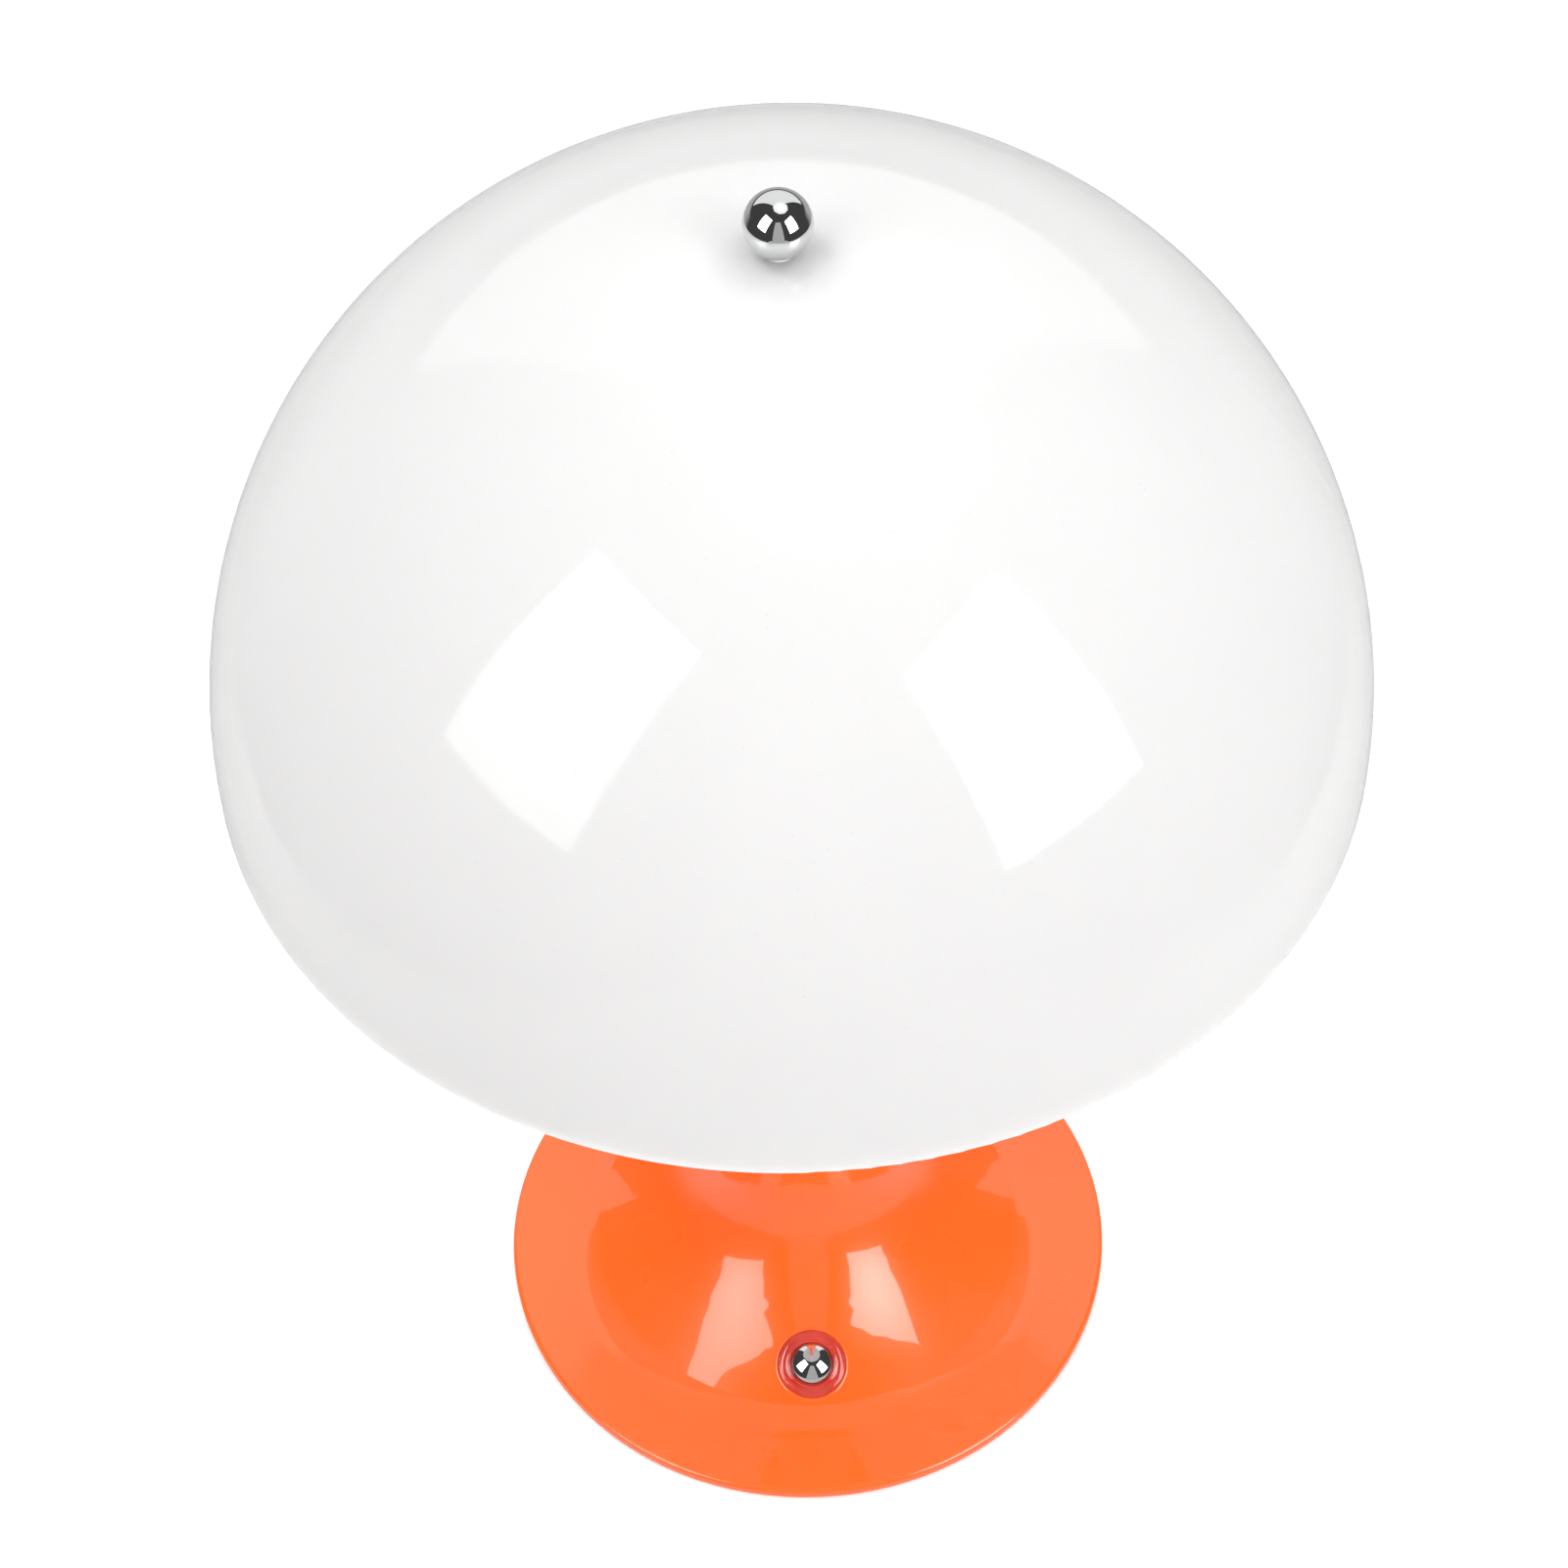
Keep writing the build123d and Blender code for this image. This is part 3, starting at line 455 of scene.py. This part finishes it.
def cell_wrap():
    """The blue shrink sleeve of the battery, faintly creased."""
    finish = Finish("cell wrap", coat_weight=0.3, coat_roughness=0.15)
    ripple = finish.group("ripple", peel_scale=300.0, wave_scale=90.0, wave_share=2.0)
    finish.colour(ripple["Height"], (0.012, 0.080, 0.300), (0.018, 0.110, 0.380))
    finish.roughness(ripple["Height"], 0.25, 0.40)
    finish.bump(ripple["Height"], 0.00006)
    return finish.material


def circuit_board(name, dark, light):
    """Solder resist over a board, with the weave of the laminate just showing."""
    finish = Finish(name, coat_weight=0.4, coat_roughness=0.2)
    grain = finish.group("grain", scale=1200.0)
    finish.colour(grain["Tone"], dark, light)
    finish.roughness(grain["Tone"], 0.35, 0.5)
    finish.bump(grain["Height"], 0.00001)
    return finish.material


def slot_materials():
    """The finish of each material slot of the frame."""
    return {
        "orange_paint": orange_paint(),
        "opal_shade": opal_shade(),
        "opal_diffuser": opal_diffuser(),
        "chrome": chrome(),
        "white_nylon": white_nylon(),
        "coral_plastic": coral_plastic(),
        "foot_rubber": grained_plastic("foot rubber", (0.012, 0.012, 0.012), (0.022, 0.022, 0.022),
                                       0.65, 0.80, 2200.0, 0.00003),
        "black_plastic": grained_plastic("black plastic", (0.006, 0.006, 0.007),
                                         (0.011, 0.011, 0.012), 0.42, 0.55, 1900.0, 0.00002),
        "grey_plastic": grained_plastic("grey plastic", (0.095, 0.10, 0.105), (0.115, 0.12, 0.125),
                                        0.40, 0.55, 1900.0, 0.00002),
        "raw_iron": grained_plastic("cast iron", (0.05, 0.05, 0.052), (0.09, 0.088, 0.086),
                                    0.55, 0.75, 500.0, 0.00012),
        "zinc_screws": turned_metal("zinc plating", (0.60, 0.62, 0.64), (0.72, 0.73, 0.72),
                                    0.22, 0.34, 16000.0, 0.000006),
        "plated_steel": turned_metal("bright plated steel", (0.70, 0.71, 0.72), (0.78, 0.79, 0.80),
                                     0.14, 0.26, 14000.0, 0.000005),
        "clear_silicone": grained_plastic("clear silicone", (0.70, 0.70, 0.67), (0.78, 0.78, 0.75),
                                          0.35, 0.50, 2400.0, 0.00001),
        "cell_wrap": cell_wrap(),
        "green_board": circuit_board("green circuit board", (0.006, 0.085, 0.020),
                                     (0.010, 0.120, 0.032)),
        "white_board": circuit_board("white light board", (0.72, 0.72, 0.70), (0.80, 0.80, 0.78)),
        "black_component": grained_plastic("black component", (0.006, 0.006, 0.006),
                                           (0.014, 0.014, 0.014), 0.45, 0.60, 2600.0, 0.00001),
        "inlet_steel": turned_metal("inlet steel", (0.62, 0.63, 0.64), (0.70, 0.71, 0.71),
                                    0.20, 0.32, 12000.0, 0.000004),
        "led_phosphor": grained_plastic("light phosphor", (0.80, 0.60, 0.08), (0.88, 0.70, 0.14),
                                        0.45, 0.60, 3000.0, 0.00002),
        "lead_insulation": grained_plastic("lead insulation", (0.42, 0.010, 0.008),
                                           (0.50, 0.016, 0.012), 0.30, 0.42, 1500.0, 0.00002),
    }


def direction(azimuth, height):
    """A unit vector from degrees round from the front and degrees above the horizon."""
    a, h = math.radians(azimuth), math.radians(height)
    return Vector((math.sin(a) * math.cos(h), -math.cos(a) * math.cos(h), math.sin(h)))


def stage_mesh(name, build, material):
    """A stage object whose mesh a function fills in."""
    mesh = bpy.data.meshes.new(name)
    bm = bmesh.new()
    build(bm)
    bm.to_mesh(mesh)
    bm.free()
    mesh.materials.append(material)
    piece = bpy.data.objects.new(name, mesh)
    scene.collection.objects.link(piece)
    return piece


def glow(name, strength, rim_share):
    """A softbox cloth: brightest in its middle, from its texture space."""
    material = bpy.data.materials.new(name)
    material.use_nodes = True
    n = Nodes(material.node_tree)
    material.node_tree.nodes.clear()
    spread = n.add("ShaderNodeTexGradient", gradient_type="SPHERICAL")
    place = n.add("ShaderNodeMapping")
    n.join(n.add("ShaderNodeTexCoord").outputs["Generated"], place.inputs["Vector"])
    n.feed(place, "Location", (-1.0, -1.0, 0.0))
    n.feed(place, "Scale", (2.0, 2.0, 0.0))
    n.join(place.outputs["Vector"], spread.inputs["Vector"])
    light = n.add("ShaderNodeEmission")
    shade = n.range(spread.outputs["Fac"], 0.0, 1.0, strength * rim_share, strength)
    n.join(shade, light.inputs["Strength"])
    n.join(light.outputs[0], n.add("ShaderNodeOutputMaterial").inputs["Surface"])
    return material


def even_glow(name, strength):
    """An evenly lit white surface."""
    material = bpy.data.materials.new(name)
    material.use_nodes = True
    n = Nodes(material.node_tree)
    material.node_tree.nodes.clear()
    light = n.add("ShaderNodeEmission")
    light.inputs["Strength"].default_value = strength
    n.join(light.outputs[0], n.add("ShaderNodeOutputMaterial").inputs["Surface"])
    return material


def softbox(name, where, distance, corners, strength, rim_share):
    """A flat glowing panel that faces the dome, hidden from the camera itself."""
    def build(bm):
        bm.faces.new([bm.verts.new((x, y, 0)) for x, y in corners])
    panel = stage_mesh(name, build, glow(name + " cloth", strength, rim_share))
    outward = direction(*where)
    panel.location = dome_centre + outward * distance
    panel.rotation_euler = outward.to_track_quat("Z", "Y").to_euler()
    panel.visible_camera = False
    return panel


def white_paper(name):
    """Matt white paper with a glow of its own, and the place that its fibre is read at."""
    finish = Finish(name, roughness=0.9, specular_ior_level=0.0, emission_color=WHITE)
    place = finish.n.add("ShaderNodeTexCoord").outputs["Object"]
    finish.colour(finish.n.noise(place, 400.0, 2.0), (0.90, 0.90, 0.90), (0.91, 0.91, 0.91))
    return finish, place


def lamp_paper():
    """The paper that shows in the lamp's mirrors, evenly lit."""
    finish, _ = white_paper("lamp paper")
    finish.set("Emission Strength", GLOW["paper"])
    return finish.material


def floor_paper():
    """White paper that looks as pale far from the lamp as it does near it."""
    finish, place = white_paper("floor paper")
    n = finish.n
    distance = n.add("ShaderNodeVectorMath", operation="LENGTH")
    n.join(place, distance.inputs[0])
    far = n.range(distance.outputs["Value"], FLOOR_NEAR, FLOOR_FAR, 0.0, GLOW["far floor"])
    shown = n.math("MULTIPLY", n.add("ShaderNodeLightPath").outputs["Is Camera Ray"], far)
    finish.set("Emission Strength", n.math("ADD", shown, GLOW["floor"]))
    return finish.material


def only_in_mirrors(piece):
    """Leaves a stage piece in sharp reflections alone, so that it neither shows nor lights."""
    piece.visible_camera = False
    piece.visible_diffuse = False
    piece.visible_shadow = False


def build_stage():
    """The floor, what the lamp mirrors of the room, and the lights."""
    half = FLOOR_SIZE / 2

    def ground(bm):
        bm.faces.new([bm.verts.new((x * half, y * half, 0)) for x, y in SQUARE])
    floor = stage_mesh("floor", ground, floor_paper())
    floor.visible_glossy = False

    def sheet(bm):
        corners = ((-1, PAPER_FRONT), (1, PAPER_FRONT), (1, PAPER_BACK), (-1, PAPER_BACK))
        bm.faces.new([bm.verts.new((side * PAPER_HALF_WIDTH, y, 0)) for side, y in corners])
    only_in_mirrors(stage_mesh("paper", sheet, lamp_paper()))

    def wall(bm):
        profile = [(WALL_DISTANCE, WALL_FOOT)]
        profile += [(out * WALL_DISTANCE, up * WALL_HEIGHT) for out, up in WALL_BEND]
        profile.append((WALL_END, WALL_HEIGHT))
        turns = [WALL_HALF_ANGLE * step / WALL_HALF_STEPS
                 for step in range(-WALL_HALF_STEPS, WALL_HALF_STEPS + 1)]
        join_rows(bm, [[bm.verts.new((r * math.sin(t), r * math.cos(t), z)) for t in turns]
                       for r, z in profile], closed=False)
    white_wall = stage_mesh("white wall", wall, even_glow("wall light", GLOW["wall"]))
    white_wall.visible_camera = False

    def card(bm):
        front = CAMERA_PLACE.y - CARD_SETBACK
        corners = ((-1, CARD_FOOT), (1, CARD_FOOT), (1, CARD_TOP), (-1, CARD_TOP))
        bm.faces.new([bm.verts.new((side * CARD_HALF_WIDTH, front - CARD_LEAN * z, z))
                      for side, z in corners])
    only_in_mirrors(stage_mesh("grey card", card, even_glow("card grey", GLOW["card"])))

    softbox("left softbox", LEFT_BOX, SIDE_BOX_DISTANCE, LEFT_BOX_CORNERS,
            GLOW["left"], SIDE_BOX_RIM)
    softbox("right softbox", RIGHT_BOX, SIDE_BOX_DISTANCE, RIGHT_BOX_CORNERS,
            GLOW["right"], SIDE_BOX_RIM)
    eighths = [math.radians(45 * i + 22.5) for i in range(8)]
    reach = TOP_BOX_ACROSS / 2
    octagon = [(reach * math.cos(a), reach * math.sin(a)) for a in eighths]
    softbox("top softbox", TOP_BOX, TOP_BOX_DISTANCE, octagon, GLOW["top"], TOP_BOX_RIM)
    lid = [(x * OVERHEAD_SIZE[0] / 2, y * OVERHEAD_SIZE[1] / 2) for x, y in SQUARE]
    overhead = softbox("overhead light", OVERHEAD, OVERHEAD_DISTANCE, lid,
                       GLOW["overhead"], OVERHEAD_RIM)
    overhead.visible_glossy = False


def build_world():
    """A room dim in mirrors and dark otherwise, but pale where the camera sees past the floor."""
    world = bpy.data.worlds.new("studio")
    scene.world = world
    world.use_nodes = True
    n = Nodes(world.node_tree)
    world.node_tree.nodes.clear()
    rays = n.add("ShaderNodeLightPath").outputs

    def plain(strength):
        light = n.add("ShaderNodeBackground")
        n.feed(light, "Color", WHITE)
        n.feed(light, "Strength", strength)
        return light.outputs[0]

    def choose(factor, first, second):
        mix = n.add("ShaderNodeMixShader")
        n.join(factor, mix.inputs[0])
        n.join(first, mix.inputs[1])
        n.join(second, mix.inputs[2])
        return mix.outputs[0]
    height = n.add("ShaderNodeSeparateXYZ")
    n.join(n.add("ShaderNodeTexCoord").outputs["Generated"], height.inputs[0])
    low = n.range(height.outputs["Z"], *GROUND_BAND, 1.0, 0.0)
    behind = n.range(height.outputs["Y"], *GROUND_BEHIND)
    strip = n.math("MULTIPLY", low, behind)
    mirrored = plain(n.range(strip, 0.0, 1.0, GLOW["mirrored"], GLOW["ground"]))
    studio = choose(rays["Is Glossy Ray"], plain(GLOW["studio"]), mirrored)
    surround = choose(rays["Is Camera Ray"], studio, plain(GLOW["backdrop"]))
    n.join(surround, n.add("ShaderNodeOutputWorld").inputs["Surface"])


def build_camera():
    data = bpy.data.cameras.new("camera")
    data.sensor_width = SENSOR_WIDTH
    data.lens = FOCAL_PIXELS / PHOTO_SIZE * SENSOR_WIDTH
    data.shift_x = (PHOTO_SIZE / 2 - OPTICAL_AXIS_PIXEL.x) / PHOTO_SIZE
    data.shift_y = (OPTICAL_AXIS_PIXEL.y - PHOTO_SIZE / 2) / PHOTO_SIZE
    data.clip_start = 0.01
    camera = bpy.data.objects.new("camera", data)
    scene.collection.objects.link(camera)
    tilt = Euler((math.pi / 2 - CAMERA_DIP, 0, 0)).to_matrix()
    roll = Matrix.Rotation(CAMERA_ROLL, 3, "Z")
    camera.matrix_world = Matrix.Translation(CAMERA_PLACE) @ (tilt @ roll).to_4x4()
    scene.camera = camera


def smooth(bm, limit=35.0):
    """Smooths every face, and leaves the edges sharper than a limit in degrees."""
    bmesh.ops.recalc_face_normals(bm, faces=bm.faces)
    for face in bm.faces:
        face.smooth = True
    for edge in bm.edges:
        edge.smooth = len(edge.link_faces) == 2 and edge.calc_face_angle() < math.radians(limit)


def add_piece(name, bm, slot, body, *replaced):
    """Links a finished mesh as a piece that rides on a body and may stand for CAD nodes."""
    mesh = bpy.data.meshes.new(name)
    bm.to_mesh(mesh)
    bm.free()
    mesh.materials.append(materials[slot])
    piece = bpy.data.objects.new(name, mesh)
    scene.collection.objects.link(piece)
    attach(piece, body)
    if replaced:
        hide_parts(*replaced)
    return piece


def join_rows(bm, rows, closed=True):
    """Fills in the faces between rows of vertices, each of which may close on itself."""
    for low, high in zip(rows, rows[1:]):
        count = len(low)
        for i in range(count if closed else count - 1):
            j = (i + 1) % count
            bm.faces.new(list(dict.fromkeys((low[i], low[j], high[j], high[i]))))


def round_row(bm, radius, height, steps):
    """A circle of vertices about Z."""
    angles = [2 * math.pi * step / steps for step in range(steps)]
    return [bm.verts.new((radius * math.cos(a), radius * math.sin(a), height)) for a in angles]


def turn(bm, profile, steps):
    """Turns a profile of radii and heights round Z. A radius of 0 closes the form."""
    rows = []
    for radius, height in profile:
        if radius == 0:
            rows.append([bm.verts.new((0, 0, height))] * steps)
        else:
            rows.append(round_row(bm, radius, height, steps))
    join_rows(bm, rows)


def build_button_cap():
    """The chrome cap of the button, which replaces the ball's plain form."""
    middle = CAP_TOP - CAP_DOME_RADIUS
    inner = CAP_DOME_RADIUS - CAP_EDGE_RADIUS
    reach = math.asin((CAP_RADIUS - CAP_EDGE_RADIUS) / inner)
    profile = [(0, CAP_TOP)]
    for k in range(1, CAP_DOME_ROWS + 1):
        angle = reach * k / CAP_DOME_ROWS
        profile.append((CAP_DOME_RADIUS * math.sin(angle),
                        middle + CAP_DOME_RADIUS * math.cos(angle)))
    bend = Vector((CAP_RADIUS - CAP_EDGE_RADIUS, middle + inner * math.cos(reach)))
    for k in range(1, CAP_EDGE_ROWS + 1):
        angle = reach + (math.pi / 2 - reach) * k / CAP_EDGE_ROWS
        profile.append((bend.x + CAP_EDGE_RADIUS * math.sin(angle),
                        bend.y + CAP_EDGE_RADIUS * math.cos(angle)))
    profile += [(CAP_RADIUS, CAP_FLAT), (SHANK_RADIUS, CAP_FLAT),
                (SHANK_RADIUS, SHANK_END), (0, SHANK_END)]
    bm = bmesh.new()
    turn(bm, profile, CAP_STEPS)
    smooth(bm)
    bm.transform(button_frame)
    add_piece("button_cap", bm, "chrome", "push_button", "button_ball")


def build_guide_ring():
    """The coral ring that the cap slides in."""
    bm = bmesh.new()
    turn(bm, GUIDE_SECTION, GUIDE_STEPS)
    bmesh.ops.remove_doubles(bm, verts=bm.verts, dist=1e-8)
    smooth(bm)
    bm.transform(button_frame)
    add_piece("guide_ring", bm, "coral_plastic", "lamp")


def build_paint_edge():
    """The rolled edge of the paint round the bush, laid on the flare's surface."""
    body = frame["nodes"]["lamp_body"].data
    flare = BVHTree.FromPolygons([v.co for v in body.vertices], [p.vertices for p in body.polygons])
    bm = bmesh.new()
    rows = []
    for step in range(EDGE_STEPS):
        angle = 2 * math.pi * step / EDGE_STEPS
        row = []
        for radius, rise in EDGE_SECTION:
            across = radius * math.cos(angle), radius * math.sin(angle)
            above = button_frame @ Vector((*across, EDGE_RAY_START))
            spot = flare.ray_cast(above, -button_out)[0]
            row.append(bm.verts.new(spot + button_out * rise))
        rows.append(row)
    join_rows(bm, rows + rows[:1])
    smooth(bm, limit=50.0)
    add_piece("paint_edge", bm, "orange_paint", "lamp")


def build_threaded_rod():
    """The rod, with the thread cut into the end that the finial climbs."""
    radius = rod_high.x
    threaded = THREAD_LENGTH - THREAD_CHAMFER
    start = rod_high.z - THREAD_LENGTH
    bm = bmesh.new()

    def ring(height, share, limit):
        row = []
        for step in range(THREAD_STEPS):
            angle = 2 * math.pi * step / THREAD_STEPS
            phase = (height / THREAD_PITCH - step / THREAD_STEPS) % 1.0
            flank = THREAD_SLOPE * abs(2 * phase - 1) - THREAD_CREST_SHARE
            cut = THREAD_DEPTH * min(1.0, max(0.0, flank))
            r = min(limit, radius - share * cut)
            row.append(bm.verts.new((r * math.cos(angle), r * math.sin(angle), height)))
        return row
    rows = [ring(rod_low.z, 0, radius - THREAD_CHAMFER),
            ring(rod_low.z + THREAD_CHAMFER, 0, radius)]
    count = round(threaded / THREAD_PITCH * ROWS_PER_TURN)
    for k in range(count + 1):
        rows.append(ring(start + threaded * k / count, min(1.0, k / ROWS_PER_TURN), radius))
    rows.append(ring(rod_high.z, 1, radius - THREAD_CHAMFER))
    bm.faces.new(rows[0][::-1])
    bm.faces.new(rows[-1])
    join_rows(bm, rows)
    smooth(bm, limit=60.0)
    add_piece("threaded_rod", bm, "plated_steel", "lamp", "centre_rod")


def islands(bm):
    """The separate solids of a mesh, as lists of vertices, in the order of their first ones."""
    seen = set()
    found = []
    for first in bm.verts:
        if first in seen:
            continue
        seen.add(first)
        solid = [first]
        for vert in solid:
            for edge in vert.link_edges:
                other = edge.other_vert(vert)
                if other not in seen:
                    seen.add(other)
                    solid.append(other)
        found.append(solid)
    return found


def cross_outline():
    """The twelve corners of a cross."""
    half, arm = CROSS_WIDTH / 2, CROSS_LENGTH / 2
    return [(half, half), (half, arm), (-half, arm), (-half, half), (-arm, half), (-arm, -half),
            (-half, -half), (-half, -arm), (half, -arm), (half, -half), (arm, -half), (arm, half)]


def build_crossed_screws():
    """The cover's screws with cross recesses in their heads, which face down."""
    source = frame["nodes"]["cover_screws"].data
    screws = bmesh.new()
    screws.from_mesh(source)
    bmesh.ops.remove_doubles(screws, verts=screws.verts, dist=1e-7)
    cutter = bmesh.new()
    for number, solid in enumerate(islands(screws)):
        low = min(v.co.z for v in solid)
        x = (min(v.co.x for v in solid) + max(v.co.x for v in solid)) / 2
        y = (min(v.co.y for v in solid) + max(v.co.y for v in solid)) / 2
        angle = CROSS_FIRST_TURN + CROSS_TURN_STEP * number
        turned = Matrix.Translation((x, y, low)) @ Matrix.Rotation(angle, 4, "Z")
        rings = [[cutter.verts.new(turned @ Vector((px * share, py * share, z)))
                  for px, py in cross_outline()]
                 for z, share in ((-CROSS_CLEARANCE, CROSS_MOUTH_SHARE),
                                  (CROSS_DEPTH, CROSS_FOOT_SHARE))]
        cutter.faces.new(rings[0][::-1])
        cutter.faces.new(rings[1])
        join_rows(cutter, rings)
    bmesh.ops.recalc_face_normals(cutter, faces=cutter.faces)
    piece = add_piece("crossed_screws", screws, "zinc_screws", "lamp", "cover_screws")
    tool_mesh = bpy.data.meshes.new("cross cutter")
    cutter.to_mesh(tool_mesh)
    cutter.free()
    tool = bpy.data.objects.new("cross cutter", tool_mesh)
    scene.collection.objects.link(tool)
    cut = piece.modifiers.new("cross", "BOOLEAN")
    cut.object = tool
    cut.solver = "EXACT"
    bpy.context.view_layer.update()
    finished = piece.evaluated_get(bpy.context.evaluated_depsgraph_get())
    shaped = bpy.data.meshes.new_from_object(finished)
    piece.modifiers.clear()
    piece.data = shaped
    bpy.data.objects.remove(tool)
    done = bmesh.new()
    done.from_mesh(shaped)
    smooth(done)
    done.to_mesh(shaped)
    done.free()


materials = slot_materials()
for entry in frame["record"]["subparts"]:
    node = frame["nodes"][entry["node"]]
    node.data.materials.clear()
    node.data.materials.append(materials[entry["material_slot"]])

build_button_cap()
build_guide_ring()
build_paint_edge()
build_crossed_screws()
build_threaded_rod()
build_stage()
build_world()
build_camera()
scene.view_settings.view_transform = "Standard"
